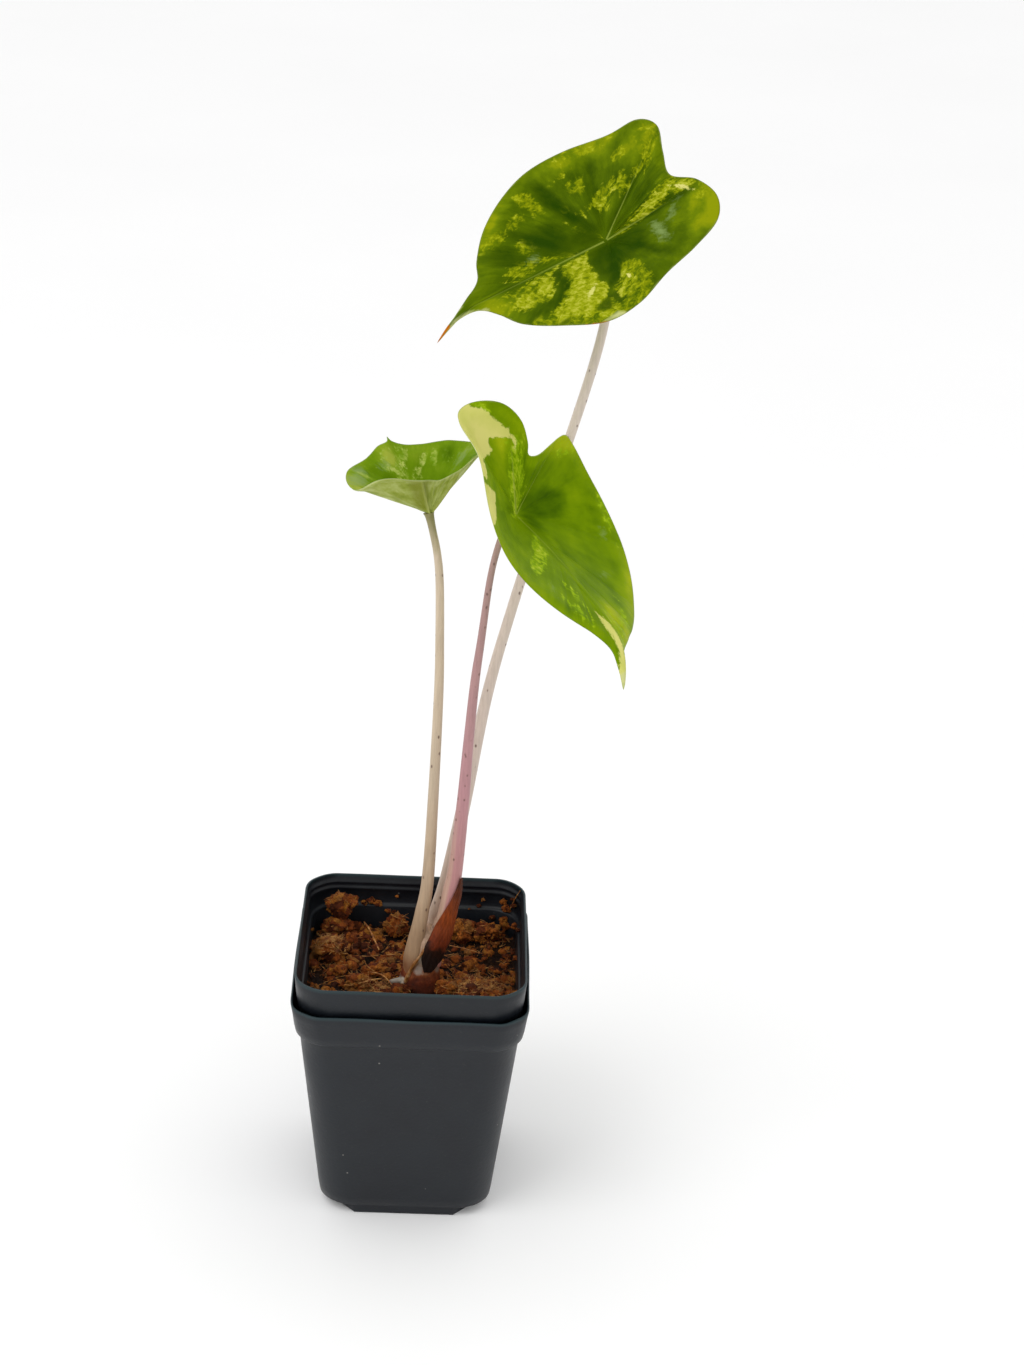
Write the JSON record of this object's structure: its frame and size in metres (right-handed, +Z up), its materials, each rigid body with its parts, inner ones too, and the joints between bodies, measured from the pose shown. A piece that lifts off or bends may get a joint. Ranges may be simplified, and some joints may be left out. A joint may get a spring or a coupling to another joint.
{
  "type": "potted variegated stingray alocasia",
  "caption": "Young variegated stingray alocasia with tailed, heart-shaped marbled leaves on slender stalks, planted in coir in nested square black nursery pots.",
  "frame": {"origin": "centre of the flat underside of the outer pot", "axes": "+Z up along the pots' axis, +X to the viewer's right and -Y towards the viewer when the middle leaf hangs forward"},
  "size_m": [0.1393, 0.1387, 0.4111],
  "materials": {
    "pot_plastic": "charcoal black, satin, thin-walled",
    "coir": "coarse orange-brown coir, lumpy and fibrous",
    "stem_skin": "red-brown swollen base with pale scars",
    "petiole_beige": "pale beige with sparse dark flecks",
    "petiole_pink": "dusky pink-purple with sparse dark flecks",
    "petiole_pale": "pale pinkish beige with sparse dark flecks",
    "leaf_blade": "satin green marbled with lime, yellow and cream",
    "dry_scale": "papery, orange-brown to dark brown"
  },
  "bodies": {
    "root": {"outer_pot": "pot_plastic", "inner_pot": "pot_plastic", "soil": "coir", "stem_base": "stem_skin", "petiole_left": "petiole_beige", "petiole_middle": "petiole_pink", "petiole_top": "petiole_pale", "blade_left": "leaf_blade", "blade_middle": "leaf_blade", "blade_top": "leaf_blade", "dry_sheath": "dry_scale"}
  },
  "joints": []
}
